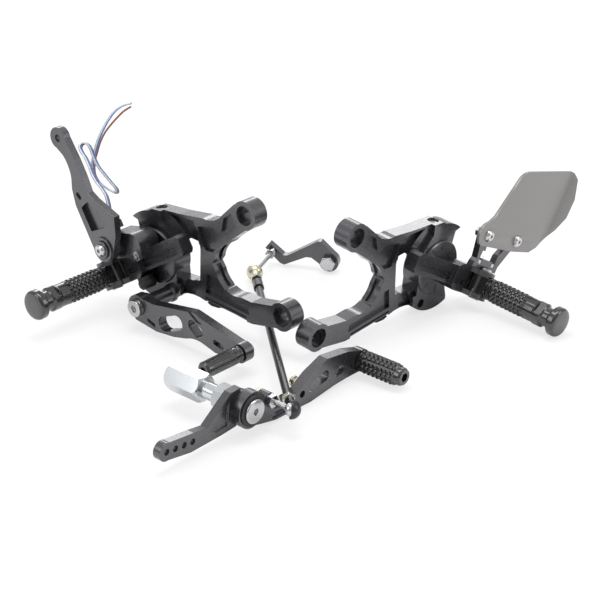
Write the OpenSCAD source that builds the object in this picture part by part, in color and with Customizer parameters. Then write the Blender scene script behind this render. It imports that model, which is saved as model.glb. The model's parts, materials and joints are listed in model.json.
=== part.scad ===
// Rear set footrest kit for a motorcycle: a brake side, a shift side, and a shift lever with its linkage.
// Millimetres. +Z is up, the kit lies on z = 0 as it comes to rest on a bench.
// Each side has its own frame: x runs from the hub to the mounting bosses, y is up, z points outboard.

/* [Bracket plates] */
// Thickness of the bracket plate
plate_t = 13; // [10:0.5:16]
// Height of the clamp jaws above the plate
jaw_proud = 4; // [2:0.5:6]
// Outer radius of the clamp hub
hub_r = 40.5; // [38:0.5:42]
// Radius of the mounting bosses
boss_r = 12.5; // [11.5:0.5:14]
// Length of the mounting bosses
boss_len = 14.5; // [13.5:0.5:18]
// Diameter of the through bores in the bosses
mount_bore = 10.5; // [8.5:0.1:12]
// Diameter of the counterbores in the bosses
counterbore_d = 17; // [15:0.5:19]
// Depth of the counterbores
counterbore_depth = 5; // [3:0.5:7]
// Depth of the milled pockets in the arms
pocket_depth = 3; // [1:0.5:5]

/* [Adjuster and hanger] */
// Diameter of the eccentric adjuster disc
disc_d = 50; // [46:0.5:52]
// Height of the adjuster disc above the plate face
disc_proud = 6; // [5:0.5:9]
// Tilt of the hanger bar above level
bar_tilt = 28.5; // [20:0.5:35]
// Width of the hanger bar
bar_w = 18; // [16:0.5:22]
// Thickness of the hanger bar
bar_t = 12; // [9:0.5:15]
// Inboard reach of the hanger bar from the hub centre
bar_reach = 52; // [46:1:58]
// Distance from the hub centre to the footpeg axis
peg_offset = 36; // [34:0.5:42]

/* [Footpegs] */
// Radius of the footpeg grip
grip_r = 10; // [9:0.25:11]
// Length of the footpeg grip
grip_len = 70; // [60:1:80]
// Radius of the footpeg end cap
cap_r = 13; // [12:0.5:15]
// Thickness of the footpeg end cap
cap_t = 9; // [7:0.5:12]
// Diameter of the fold pin
pin_d = 8; // [6:0.5:9]
// Number of grip rings on a footpeg
grip_rings = 8; // [5:1:9]

/* [Brake controls] */
// Thickness of the brake pedal
pedal_t = 9; // [7:0.5:11]
// Length of the brake toe peg
toe_len = 41; // [32:1:50]
// Radius of the brake toe peg
toe_r = 7; // [6:0.25:8]
// Thickness of the upper brake arm
arm_t = 8; // [6:0.5:10]

/* [Heel guard] */
// Thickness of the heel guard sheet
guard_t = 2.5; // [1.5:0.25:3.5]
// Thickness of the heel guard support
support_t = 6; // [4:0.5:8]

/* [Shift lever] */
// Thickness of the shift lever
lever_t = 9; // [7:0.5:11]
// Thickness of the tail arm
tail_t = 7; // [5:0.5:9]
// Distance from the lever pivot to the toe peg
toe_reach = 132; // [118:1:140]
// Length of the shift toe peg
shift_toe_len = 43; // [36:1:54]
// Radius of the shift toe peg
shift_toe_r = 9; // [8:0.25:11]
// Width across the flats of the large axle hexagon
axle_hex = 21; // [18:0.5:24]
// Diameter of the link rod
rod_d = 6.6; // [6:0.2:8]

/* [Hidden] */
$fn = 48;

// Where the three groups lie, and how they are turned
kit_shift = [-8.283, 17.61, 0.04];
brake_at = [-121.3, 77, 50.6];
brake_yaw = 41.8;
brake_roll = 2.3;
shift_at = [115.5, 75, 40.7];
shift_yaw = 45.5;
shift_pitch = 5.2;
lever_at = [-32.7, -152, 21.2];
lever_yaw = 49.3;
lever_pitch = -1.4;
arm_at = [26.6, 151.6, 0.2];
arm_yaw = -16;

black = [0.13, 0.13, 0.14];
dark = [0.08, 0.08, 0.09];
steel = [0.80, 0.81, 0.83];
zinc = [0.86, 0.87, 0.88];
yellow_zinc = [0.72, 0.64, 0.42];
carbon = [0.45, 0.45, 0.47];

fit = 0.05;
seat = 0.3;

// Bracket outline, hub centre at the origin
boss_u = [104, 59];
boss_d = [141, -21];
saddle_c = [90, 7];
saddle_r = 23;
disc_r = disc_d / 2;
jaw_z = jaw_proud;
neck_x = 50;
jaw_c = [0, 1.5];
jaw_r = 42.3;

function arc(c, r, a0, a1, n) = [for (i = [0:n]) c + r * [cos(a0 + (a1 - a0) * i / n), sin(a0 + (a1 - a0) * i / n)]];
function unit(v) = v / norm(v);
// Corner points of the straight strap that touches two circles from outside
function strap_points(a, ra, b, rb) =
    let (d = norm(b - a), e = unit(b - a), s = (ra - rb) / d, k = sqrt(1 - s * s), p = [-e[1], e[0]])
    [a + 0.985 * ra * (e * s + p * k), b + 0.985 * rb * (e * s + p * k),
     b + 0.985 * rb * (e * s - p * k), a + 0.985 * ra * (e * s - p * k)];

module strap(a, ra, b, rb) {
    translate(a) circle(r = ra);
    translate(b) circle(r = rb);
    polygon(strap_points(a, ra, b, rb));
}

// Round-ended bar of height h between two circles
module bar(a, ra, b, rb, h) {
    translate([a[0], a[1], 0]) cylinder(r = ra, h = h);
    translate([b[0], b[1], 0]) cylinder(r = rb, h = h);
    linear_extrude(h) polygon(strap_points(a, ra, b, rb));
}

module slot(a, b, w) {
    strap(a, w / 2, b, w / 2);
}

module bar_frame() {
    rotate([0, 0, bar_tilt]) children();
}

module at_side(brake) {
    if (brake)
        translate(brake_at + kit_shift) rotate([0, 0, -brake_yaw]) rotate([90, 0, 0])
            rotate([0, 0, brake_roll]) children();
    else
        translate(shift_at + kit_shift) mirror([1, 0, 0]) rotate([0, 0, -shift_yaw])
            rotate([90 + shift_pitch, 0, 0]) children();
}

module at_lever() {
    translate(lever_at + kit_shift) rotate([0, 0, lever_yaw]) rotate([90 - lever_pitch, 0, 0]) children();
}

module at_arm() {
    translate(arm_at + kit_shift) rotate([0, 0, arm_yaw]) rotate([90, 0, 0]) children();
}

// Bracket

module plate_outline() {
    difference() {
        union() {
            polygon(concat(
                [[-12, 37], [-2, 42.5], [29, 43.5]],
                arc([60, 71], 25.5, -100, -40, 6),
                [[93, 66.5], boss_u + [-4, boss_r - 1.4], boss_u + [2, -boss_r + 0.8],
                 [88, 34], [77, 24]],
                [[64, 7], [77, -13], [108, -16.5], boss_d + [-8, 7.9], boss_d + [-4, -boss_r + 1.4],
                 [118.6, -34.7], [108, -36.2], [99, -35.6], [76.6, -32]],
                arc([40, -71], 43.4, 62, 118, 6),
                [[10, -37.2], [-10, -36.5], [-15, -32.5], [-16, 0], [-20, 28]]));
            circle(r = hub_r);
        }
        translate(saddle_c) circle(r = saddle_r);
        // open mouth of the clamp, on the side away from the bosses
        polygon([[-60, 40], [-20.5, 28.5], [-17.5, 18], [-12, 18], [-12, -22], [-13.5, -22], [-16.5, -33], [-17.5, -46], [-60, -46]]);
        // window between the disc and the neck
        polygon([[22, 24], [neck_x + 0.5, 21], [neck_x + 1, 17], [neck_x - 1.5, -12], [37, -16], [24, -16]]);
    }
}

// Step between the raised jaws and the arms
module jaw_outline() {
    intersection() {
        difference() {
            plate_outline();
            polygon([[9, 60], [9, 33], [22, 20], [80, 20], [80, 60]]);
            polygon([[32, -14], [24.5, -30], [22, -60], [200, -60], [200, -14]]);
            polygon([[24, 30], [200, 30], [200, -20], [24, -20]]);
        }
        translate(jaw_c) circle(r = jaw_r);
    }
}

module arm_pocket_upper() {
    difference() {
        polygon([[49, 37], [66, 40], [72, 37.5], [78, 43], [80, 51], [89, 58], [95.5, 47.5], [65.5, 17.5], [57, 17.5]]);
        translate([73.5, 41]) circle(r = 4);
    }
}

module arm_pocket_lower() {
    polygon([[57, -4], [62.5, -5], [69, -14], [82, -19], [104, -21.5], [105, -29], [54.5, -22]]);
}

module bracket() {
    color(black) difference() {
        union() {
            translate([0, 0, -plate_t]) linear_extrude(plate_t) plate_outline();
            translate([0, 0, -plate_t]) linear_extrude(plate_t + jaw_z) jaw_outline();
            for (b = [boss_u, boss_d]) translate([b[0], b[1], -boss_len]) cylinder(r = boss_r, h = boss_len);
        }
        // adjuster seat
        translate([0, 0, -plate_t - 1]) cylinder(r = disc_r + fit, h = plate_t + jaw_z + 2, $fn = 96);
        for (b = [boss_u, boss_d]) {
            translate([b[0], b[1], -boss_len - 1]) cylinder(d = mount_bore, h = boss_len + 2);
            translate([b[0], b[1], -counterbore_depth]) cylinder(d = counterbore_d, h = counterbore_depth + 1);
        }
        translate([0, 0, -pocket_depth]) linear_extrude(pocket_depth + 1) arm_pocket_upper();
        translate([0, 0, -pocket_depth]) linear_extrude(pocket_depth + 1) arm_pocket_lower();
        // recess of the struts that join the hub to the neck
        translate([0, 0, -4]) linear_extrude(5) difference() {
            polygon([[10, 41], [44, 41], [47, 36], [50, 19], [22, 19], [12, 31]]);
            translate(jaw_c) circle(r = jaw_r);
        }
        translate([0, 0, -3]) linear_extrude(4) polygon([[33, -13], [45, -11], [42, -27], [26, -28.5]]);
        // twin grooves along the lower edge
        for (s = [0, 3.2]) translate([0, 0, -1.6]) linear_extrude(3)
            slot([55, -26.5 - s], [101, -31.8 - s], 1.8);
        // groove in the wall of the saddle
        translate([saddle_c[0], saddle_c[1], -plate_t / 2 - 2.5]) linear_extrude(5) intersection() {
            circle(r = saddle_r + 2.2);
            polygon([[0, 0], 40 * [cos(125), sin(125)], 40 * [cos(165), sin(165)],
                40 * [cos(205), sin(205)], 40 * [cos(235), sin(235)]]);
        }
        clamp_bore();
        translate([pedal_pivot[0], pedal_pivot[1], -plate_t - 1])
            cylinder(d = axle_thread_d, h = plate_t + jaw_z + 2);
    }
}

// Clamp screw: it runs down through the upper jaw onto the disc
clamp_x = 2;
clamp_z = -4.5;
clamp_head_d = 9;
clamp_shank_d = 5;
clamp_seat_y = 36;
clamp_head_h = 4.5;

module clamp_bore() {
    translate([clamp_x, clamp_seat_y, clamp_z]) rotate([-90, 0, 0])
        cylinder(d = clamp_head_d + 1, h = 12);
    translate([clamp_x, disc_r - 2, clamp_z]) rotate([-90, 0, 0]) cylinder(d = clamp_shank_d, h = 14);
}

module clamp_screw() {
    color(steel) translate([clamp_x, clamp_seat_y, clamp_z]) rotate([-90, 0, 0]) difference() {
        union() {
            cylinder(d = clamp_head_d, h = clamp_head_h);
            translate([0, 0, disc_r + seat - clamp_seat_y]) cylinder(d = clamp_shank_d, h = clamp_seat_y - disc_r - seat + 1);
        }
        translate([0, 0, clamp_head_h - 2.6]) cylinder(d = 4.6, h = 4, $fn = 6);
    }
}

// Adjuster disc and hanger

hang_screw_x = 15;
hang_screw_d = 8;
hang_head_d = 13;
hang_head_h = 7;
bar_z0 = disc_proud;
bar_z1 = disc_proud + bar_t;
block_z1 = bar_z1 + 4;
pin_z = bar_z1 + 10;
ear_r = 10;
ear_t = 4.6;
tongue_h = 15.6;
ear_gap = tongue_h + 0.4;
ear_y = ear_gap / 2 + ear_t;
peg_x = -peg_offset;
mount_screw = [6, 6];
grip_z0 = pin_z + ear_r + 0.8;
grip_z1 = grip_z0 + grip_len;

module adjuster() {
    color(black) difference() {
        union() {
            translate([0, 0, -plate_t]) cylinder(r = disc_r, h = plate_t + disc_proud - 1, $fn = 96);
            translate([0, 0, disc_proud - 1]) cylinder(r1 = disc_r, r2 = disc_r - 1, h = 1, $fn = 96);
        }
        // index lines on the face
        for (i = [0:7]) rotate([0, 0, bar_tilt + 22.5 + i * 45]) translate([disc_r - 9, -0.3, disc_proud - 0.6])
            cube([12, 0.6, 2]);
        bar_frame() for (s = [-1, 1]) translate([s * hang_screw_x, 0, -plate_t - 1]) {
            cylinder(d = hang_screw_d + 0.4, h = plate_t + disc_proud + 2);
            cylinder(d = hang_head_d + 0.6, h = hang_head_h + 1.3);
        }
    }
}

module hanger(mount_hole) {
    color(black) bar_frame() difference() {
        union() {
            translate([0, 0, bar_z0]) linear_extrude(bar_t) polygon([
                [peg_x + 4, -bar_w / 2], [bar_reach - 3, -bar_w / 2], [bar_reach, -bar_w / 2 + 3],
                [bar_reach, bar_w / 2 - 3], [bar_reach - 3, bar_w / 2], [peg_x + 4, bar_w / 2]]);
            // thick outer block that carries the ears
            translate([0, 0, bar_z0]) linear_extrude(block_z1 - bar_z0) polygon([
                [peg_x - 13, -ear_y + 3], [peg_x - 10, -ear_y], [peg_x + 26, -ear_y], [peg_x + 31, -bar_w / 2],
                [peg_x + 31, bar_w / 2], [peg_x + 26, ear_y], [peg_x - 10, ear_y], [peg_x - 13, ear_y - 3]]);
            for (s = [-1, 1]) translate([peg_x, s * (ear_gap + ear_t) / 2, 0]) rotate([90, 0, 0])
                linear_extrude(ear_t, center = true) {
                    translate([0, pin_z]) circle(r = ear_r);
                    polygon([[-ear_r - 3, bar_z0 + 3], [ear_r + 6, bar_z0 + 3], [ear_r + 2, block_z1],
                        [ear_r, pin_z], [-ear_r, pin_z], [-ear_r - 1, block_z1]]);
                }
        }
        // room for the tongue
        translate([peg_x, 0, pin_z]) rotate([90, 0, 0]) cylinder(r = ear_r + 0.6, h = ear_gap, center = true, $fn = 64);
        translate([peg_x - ear_r - 20, -ear_gap / 2, pin_z - 6]) cube([20 + ear_r, ear_gap, 40]);
        translate([peg_x, 0, pin_z]) rotate([90, 0, 0]) cylinder(d = pin_d, h = 60, center = true);
        // long rounded pocket in the face
        translate([0, -2.4, bar_z1 - 3.5]) linear_extrude(10) slot([-1, 0], [bar_reach - 10, 0], 7);
        // generic graduation ticks
        for (i = [0:8]) translate([8 + i * 3.6, bar_w / 2 - 4.6, bar_z1 - 0.5]) cube([0.7, i % 4 == 0 ? 3 : 2, 2]);
        for (s = [-1, 1]) translate([s * hang_screw_x, 0, bar_z0 - 1]) cylinder(d = hang_screw_d, h = 8.5);
        if (mount_hole) translate([mount_screw[0], mount_screw[1], bar_z1 - 6]) cylinder(d = 5.4, h = 30);
        // small slot beside the pocket
        translate([peg_x + 20, -4, block_z1 - 3]) linear_extrude(6) slot([-3, 0], [5, 0], 4.5);
    }
}

module hanger_screws() {
    color(steel) bar_frame() for (s = [-1, 1]) translate([s * hang_screw_x, 0, 0]) difference() {
        union() {
            translate([0, 0, -plate_t + 0.3]) cylinder(d = hang_head_d, h = hang_head_h);
            translate([0, 0, -plate_t + 1]) cylinder(d = hang_screw_d, h = plate_t + bar_z0 + 6);
        }
        translate([0, 0, -plate_t - 1]) cylinder(d = 7, h = 5, $fn = 6);
    }
}

module peg_pin() {
    color(steel) bar_frame() translate([peg_x, 0, pin_z]) rotate([90, 0, 0]) difference() {
        union() {
            cylinder(d = pin_d, h = 2 * ear_y, center = true);
            translate([0, 0, -ear_y - 2.5]) cylinder(d = pin_d + 3, h = 2.5);
            translate([0, 0, ear_y]) cylinder(d = pin_d + 2, h = 1.2);
        }
        translate([0, 0, -ear_y - 4]) cylinder(d = 4.6, h = 4, $fn = 6);
    }
}

// Footpeg: the tongue turns on the pin, the grip has rows of raised studs
ring_pitch = 4.6;
stud_n = 14;
groove_d = 1.3;

module footpeg() {
    color(dark) bar_frame() translate([peg_x, 0, 0]) difference() {
        union() {
            translate([0, 0, pin_z]) rotate([90, 0, 0]) cylinder(r = ear_r - 0.6, h = tongue_h, center = true);
            translate([-ear_r + 1.5, -tongue_h / 2, pin_z]) cube([2 * ear_r - 3, tongue_h, ear_r + 2]);
            translate([0, 0, grip_z0]) rotate_extrude($fn = 72) polygon([
                [0, 0], [grip_r - 1, 0], [grip_r - 0.3, 0.7], [grip_r - 0.3, 2.2], [grip_r - 1.6, 2.6],
                [grip_r - 1.6, 4.2], [grip_r - 0.6, 4.8],
                [grip_r, 6], [grip_r, grip_len - 17], [grip_r + 0.6, grip_len - 16], [grip_r + 0.6, grip_len - 9],
                [grip_r - 1.5, grip_len - 7], [grip_r - 1.5, grip_len - 2], [grip_r + 1, grip_len], [0, grip_len]]);
        }
        translate([0, 0, pin_z]) rotate([90, 0, 0]) cylinder(d = pin_d + 2 * fit, h = 40, center = true);
        // rings of the grip
        for (i = [0:grip_rings - 1]) translate([0, 0, grip_z0 + 7.5 + i * ring_pitch]) rotate_extrude($fn = 72)
            polygon([[grip_r - groove_d, -0.5], [grip_r + 1, -1.5], [grip_r + 1, 1.5], [grip_r - groove_d, 0.5]]);
        // lengthwise flutes cut the rings into studs
        for (k = [0:stud_n - 1]) rotate([0, 0, k * 360 / stud_n])
            translate([grip_r + 0.5, 0, grip_z0 + 7.5]) cylinder(r = 1.5, h = grip_rings * ring_pitch, $fn = 14);
        // spanner flats behind the cap
        for (s = [0, 180]) rotate([0, 0, s + 30]) translate([grip_r - 1.2, -7, grip_z1 - 15]) cube([4, 14, 7]);
        translate([0, 0, grip_z1 - 12]) cylinder(d = 6, h = 13);
    }
}

module peg_cap() {
    color(black) bar_frame() translate([peg_x, 0, grip_z1]) {
        rotate_extrude($fn = 72) polygon(concat([[0, 0], [cap_r - 1.5, 0], [cap_r, 1.5], [cap_r, cap_t - 3.5]],
            arc([cap_r - 3, cap_t - 3.5], 3, 10, 75, 4), [[cap_r - 6, cap_t - 0.1], [0, cap_t]]));
        translate([0, 0, -10]) cylinder(d = 6, h = 10.5);
    }
}

// Brake pedal group

pedal_pivot = [17, -30];
pedal_z0 = 36;
pedal_z1 = pedal_z0 + pedal_t;
axle_thread_d = 8;
axle_d = 10;
pedal_hub_r = 11;
bush_r = 7;
toe_at = [135.5, -38.5];

module pedal_axle() {
    color(steel) translate([pedal_pivot[0], pedal_pivot[1], 0]) difference() {
        union() {
            translate([0, 0, -plate_t + 1]) cylinder(d = axle_thread_d, h = plate_t + jaw_z);
            translate([0, 0, jaw_z]) cylinder(d = axle_d, h = pedal_z1 + 1.5 - jaw_z);
            translate([0, 0, pedal_z1 + 1.5]) cylinder(d = 15, h = 3);
        }
        translate([0, 0, pedal_z1 + 2]) cylinder(d = 6.9, h = 5, $fn = 6);
    }
}

module pedal_spacer() {
    color(black) translate([pedal_pivot[0], pedal_pivot[1], jaw_z]) difference() {
        rotate_extrude($fn = 48) polygon([[axle_d / 2, 0], [8, 0], [8, 3], [6.8, 5], [6.8, pedal_z0 - jaw_z - 7],
            [9, pedal_z0 - jaw_z - 4], [9, pedal_z0 - jaw_z - 0.4], [axle_d / 2, pedal_z0 - jaw_z - 0.4]]);
    }
}

module pedal_bush() {
    color(yellow_zinc) translate([pedal_pivot[0], pedal_pivot[1], pedal_z0 - 0.2]) difference() {
        cylinder(r = bush_r, h = pedal_t + 1.4);
        translate([0, 0, -1]) cylinder(d = axle_d + 2 * fit, h = pedal_t + 4);
    }
}

module pedal() {
    color(black) translate([0, 0, pedal_z0]) difference() {
        union() {
            translate([pedal_pivot[0], pedal_pivot[1], 0]) cylinder(r = pedal_hub_r, h = pedal_t);
            translate([toe_at[0], toe_at[1], 0]) cylinder(r = 8.5, h = pedal_t);
            linear_extrude(pedal_t) polygon(concat([pedal_pivot + [-7.8, 5], pedal_pivot + [0, 10], [37, -22], [83, -17],
                toe_at + [2.6, 7.4], toe_at + [-2.6, -7.4], [108, -46]],
                arc([86, -70], 29.5, 75, 112, 5),
                [[60, -45.5], [39, -46.5], [14, -42], pedal_pivot + [-9, -4]]));
        }
        translate([0, 0, -1]) {
            bar([49, -36.8], 6.6, [64, -32], 7, pedal_t + 2);
            bar([83, -28.5], 5, [89, -33], 5.6, pedal_t + 2);
            bar([109, -36.5], 2.5, [116, -38.5], 2.5, pedal_t + 2);
            translate([pedal_pivot[0], pedal_pivot[1], 0]) cylinder(r = bush_r, h = pedal_t + 2);
            translate([toe_at[0], toe_at[1], 0]) cylinder(d = 6, h = pedal_t + 2);
        }
        for (s = [0, 3.4]) translate([0, 0, pedal_t - 1.5])
            bar([29, -37.5 - s / 2], 0.75, [37, -40.5 - s / 2], 0.75, 3);
        // relief along the top edge
        translate([0, 0, pedal_t - 1.2]) linear_extrude(3) polygon([[74, -14], [86, -14], [94, -25], [88, -24.5]]);
    }
}

module toe_peg() {
    color(dark) translate([toe_at[0], toe_at[1], pedal_z1]) difference() {
        rotate_extrude($fn = 60) polygon([[0, 0], [toe_r - 1, 0], [toe_r, 1], [toe_r, 3], [toe_r - 0.8, 3.6],
            [toe_r - 0.8, 5], [toe_r, 5.6], [toe_r, toe_len - 1.5], [toe_r - 1.5, toe_len], [0, toe_len]]);
        translate([0, 0, -1]) cylinder(d = 6, h = 21);
        translate([0, 0, toe_len - 4]) cylinder(d = 7, h = 5, $fn = 6);
        for (k = [0:15]) rotate([0, 0, k * 22.5]) translate([toe_r + 0.4, 0, 8])
            cylinder(r = 0.9, h = toe_len - 14, $fn = 13);
    }
}

module toe_screw() {
    color(steel) translate([toe_at[0], toe_at[1], pedal_z0 - 4]) difference() {
        union() {
            cylinder(d = 10, h = 4);
            cylinder(d = 6, h = pedal_t + 22);
        }
        translate([0, 0, -1]) cylinder(d = 4.6, h = 3.5, $fn = 6);
    }
}

// Stop post under the hanger block
stop_x = peg_x + 23;
stop_len = 11;
module pedal_stop() {
    color(dark) bar_frame() translate([stop_x, -ear_y, (bar_z0 + block_z1) / 2]) rotate([90, 0, 0])
        rotate_extrude($fn = 48) polygon([[0, 0], [7, 0], [7, 3], [8, 4], [8, stop_len - 3], [6, stop_len], [0, stop_len]]);
}

// Upper brake arm group

arm_pivot = [-16, 22];
mount_z0 = bar_z1;
mount_t = 12;
mount_z1 = mount_z0 + mount_t;
spindle_d = 8;
arm_z0 = mount_z1 + 5;
arm_z1 = arm_z0 + arm_t;
arm_end = [-15.5, 124];

module arm_mount() {
    color(black) bar_frame() difference() {
        union() {
            translate([0, 0, block_z1]) linear_extrude(mount_z1 - block_z1) strap(arm_pivot, 12, [6, 15.5], 11);
            translate([0, 0, bar_z0 + 2]) linear_extrude(mount_z1 - bar_z0 - 2) difference() {
                strap(arm_pivot + [3, 1], 9.5, [6, 15.5], 11);
                polygon([[-70, -30], [70, -30], [70, bar_w / 2], [peg_x + 31, bar_w / 2], [peg_x + 26, ear_y], [-70, ear_y]]);
            }
            translate([0, 0, bar_z1]) linear_extrude(mount_t) polygon([[-1, 2], [13, 2], [17, 12], [-1, 14]]);
            translate([arm_pivot[0], arm_pivot[1], mount_z1]) cylinder(r = 9, h = 4.7);
        }
        translate([arm_pivot[0], arm_pivot[1], 0]) cylinder(d = spindle_d, h = 80);
        translate([mount_screw[0], mount_screw[1], 0]) cylinder(d = 5.4, h = 60);
        translate([mount_screw[0], mount_screw[1], mount_z1 - 5]) cylinder(d = 9.4, h = 10);
    }
}

module arm_mount_screws() {
    color(steel) bar_frame() translate([mount_screw[0], mount_screw[1], 0]) difference() {
        union() {
            translate([0, 0, bar_z1 - 6]) cylinder(d = 5.4, h = mount_t + 2);
            translate([0, 0, mount_z1 - 5]) cylinder(d = 9, h = 4.5);
        }
        translate([0, 0, mount_z1 - 3]) cylinder(d = 4, h = 4, $fn = 6);
    }
}

module arm_spindle() {
    color(steel) bar_frame() translate([arm_pivot[0], arm_pivot[1], 0]) difference() {
        union() {
            translate([0, 0, mount_z0 - 8]) cylinder(d = spindle_d, h = arm_z1 + 0.6 - mount_z0 + 8);
        }
        translate([0, 0, arm_z1 - 12]) cylinder(d = 5, h = 20);
    }
}

module arm_outline() {
    difference() {
        union() {
            translate(arm_pivot) circle(r = 12);
            translate(arm_end) circle(r = 9.5);
            polygon(concat([[-28.5, 27], [-28.5, 66], [-24.5, 80]], arc([-50, 101], 33, -22, 14, 5),
                [arm_end + [-9, -2], arm_end + [9, -1.5], [-5, 101], [-5, 85], [-6.5, 71], [-2, 63], [14, 43], [6, 28], [-5, 16]]));
        }
        translate(arm_end) circle(d = 6.5);
        slot([-20, 73.5], [-19, 70.5], 4);
    }
}

module brake_arm() {
    color(black) bar_frame() difference() {
        union() {
            translate([0, 0, arm_z0]) linear_extrude(arm_t - 1.5) arm_outline();
            translate([arm_pivot[0], arm_pivot[1], arm_z0]) cylinder(r = 11, h = arm_t);
        }
        translate([arm_pivot[0], arm_pivot[1], 0]) cylinder(d = spindle_d + 2 * fit, h = 80);
        translate([0, 0, arm_z1 - 5.5]) linear_extrude(8)
            difference() {
                polygon([[-22.5, 62], [-12, 64.5], [4, 42], [-4, 38.5], [-22, 40]]);
                translate(arm_pivot) circle(r = 16.5);
            }
    }
}

module arm_washer() {
    color(black) bar_frame() translate([arm_pivot[0], arm_pivot[1], arm_z1 + 0.2]) difference() {
        cylinder(r = 8, h = 1.4);
        translate([0, 0, -1]) cylinder(d = spindle_d + 0.2, h = 4);
    }
}

module arm_screw() {
    color(steel) bar_frame() translate([arm_pivot[0], arm_pivot[1], arm_z1 + 1.6]) difference() {
        union() {
            rotate_extrude() polygon([[0, 0], [5.6, 0], [5.2, 1.8], [3.8, 3], [0, 3]]);
            translate([0, 0, -11]) cylinder(d = 5, h = 12);
        }
        translate([0, 0, 1]) cylinder(d = 4.2, h = 4, $fn = 6);
    }
}

switch_at = [-13, 35.45, mount_z1 - 10];
module brake_switch() {
    color(dark) bar_frame() translate(switch_at) {
        translate([-7, -1.4, 0]) cube([15, 6.6, 8]);
        translate([0.5, 5, 4]) rotate([-90, 0, 0]) cylinder(r = 3.7, h = 3);
    }
}

// Switch wires. Their points are given in the frame of the whole kit, before it is centred.
wire_blue_pts = [
    [-161.9, 81.1, 81.6], [-163.4, 82.5, 85.0], [-163.0, 82.0, 89.6], [-164.1, 83.5, 96.3],
    [-165.8, 85.0, 102.2], [-169.3, 86.5, 107.6], [-173.5, 88.5, 112.7], [-177.0, 90.5, 118.8],
    [-179.4, 92.5, 125.8], [-182.6, 95.0, 132.1], [-186.2, 97.5, 137.1], [-187.6, 100.0, 140.7],
    [-185.5, 103.0, 142.9], [-182.0, 106.0, 140.9], [-179.7, 108.0, 136.0], [-177.8, 108.5, 128.9],
    [-174.4, 108.5, 120.2], [-169.2, 108.5, 112.4], [-164.0, 109.0, 104.8], [-159.9, 110.8, 98.5],
    [-159.9, 113.8, 94.0], [-164.0, 116.8, 93.0], [-170.6, 118.3, 96.5], [-175.9, 118.5, 101.5],
    [-179.5, 118.5, 109.5], [-179.7, 118.5, 119.3], [-177.3, 118.5, 128.9], [-174.2, 118.5, 138.6],
    [-170.4, 118.5, 147.2], [-165.2, 118.5, 156.8], [-158.6, 118.5, 165.8], [-151.7, 118.5, 170.9],
    [-144.1, 118.5, 173.2]];
wire_brown_pts = [
    [-160.2, 83.1, 81.6], [-161.7, 84.4, 85.0], [-162.5, 86.4, 87.0], [-163.6, 87.9, 93.8],
    [-165.3, 89.4, 99.6], [-168.8, 90.9, 105.0], [-173.0, 92.9, 110.2], [-176.5, 94.9, 116.3],
    [-178.9, 96.9, 123.3], [-182.1, 99.4, 129.7], [-185.7, 101.9, 134.7], [-187.1, 104.4, 138.3],
    [-185.0, 107.4, 140.5], [-181.5, 110.4, 138.5], [-179.2, 112.4, 133.5], [-177.3, 112.9, 126.5],
    [-173.9, 112.9, 117.7], [-168.6, 112.9, 109.9], [-163.4, 113.4, 102.3], [-159.3, 115.2, 96.0],
    [-159.3, 118.2, 91.4], [-163.4, 121.2, 90.4], [-170.0, 122.7, 94.0], [-175.4, 122.9, 99.0],
    [-179.0, 122.9, 107.0], [-178.9, 122.9, 117.6], [-176.3, 122.9, 126.9], [-172.9, 122.9, 137.0],
    [-168.5, 122.9, 145.4], [-163.1, 122.9, 152.5], [-157.2, 122.9, 159.1], [-151.4, 122.9, 164.7],
    [-145.2, 122.9, 168.7]];
wire_white_pts = [
    [-163.7, 79.2, 81.6], [-165.1, 80.5, 85.0], [-163.8, 78.6, 91.2], [-164.9, 80.1, 98.0],
    [-166.6, 81.6, 103.8], [-170.0, 83.1, 109.2], [-174.3, 85.1, 114.3], [-177.7, 87.1, 120.4],
    [-180.2, 89.1, 127.3], [-183.3, 91.6, 133.6], [-186.9, 94.1, 138.6], [-188.3, 96.6, 142.2],
    [-186.2, 99.6, 144.4], [-182.8, 102.6, 142.4], [-180.4, 104.6, 137.5], [-178.5, 105.1, 130.5],
    [-175.2, 105.1, 121.8], [-170.0, 105.1, 114.0], [-164.8, 105.6, 106.4], [-160.7, 107.4, 100.1],
    [-160.7, 110.4, 95.6], [-164.8, 113.4, 94.6], [-171.3, 114.9, 98.1], [-176.7, 115.1, 103.1],
    [-180.3, 115.1, 111.1], [-180.5, 115.1, 120.8], [-178.1, 115.1, 130.5], [-175.0, 115.1, 140.1],
    [-171.2, 115.1, 148.7], [-166.0, 115.1, 158.2], [-159.4, 115.1, 167.2], [-152.5, 115.1, 172.3],
    [-144.9, 115.1, 174.6]];
wire_d = 1.8;

function path_dir(p, i) = unit((i < len(p) - 1 ? p[i + 1] : p[i]) - (i > 0 ? p[i - 1] : p[i]));
function side_of(t) = unit(cross(t, abs(t[2]) < 0.9 ? [0, 0, 1] : [1, 0, 0]));

module tube(p, d, sides) {
    rings = [for (i = [0:len(p) - 1]) let (t = path_dir(p, i), a = side_of(t), b = cross(t, a))
        for (k = [0:sides - 1]) p[i] + d / 2 * (cos(360 * k / sides) * a + sin(360 * k / sides) * b)];
    last = (len(p) - 1) * sides;
    polyhedron(rings, concat(
        [[for (k = [0:sides - 1]) sides - 1 - k]],
        [for (i = [0:len(p) - 2]) for (k = [0:sides - 1])
            let (k2 = (k + 1) % sides) [i * sides + k, i * sides + k2, (i + 1) * sides + k2, (i + 1) * sides + k]],
        [[for (k = [0:sides - 1]) last + k]]), convexity = 6);
}

module wire(points, tint) {
    color(tint) translate(kit_shift) tube(points, wire_d, 8);
}

// Heel guard group, on the shift side

guard_z0 = pin_z - 2;
guard_z1 = guard_z0 + guard_t;
support_z0 = guard_z0 - support_t;
guard_screw = [[-18, 42.5], [-64, 46.5]];

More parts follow.
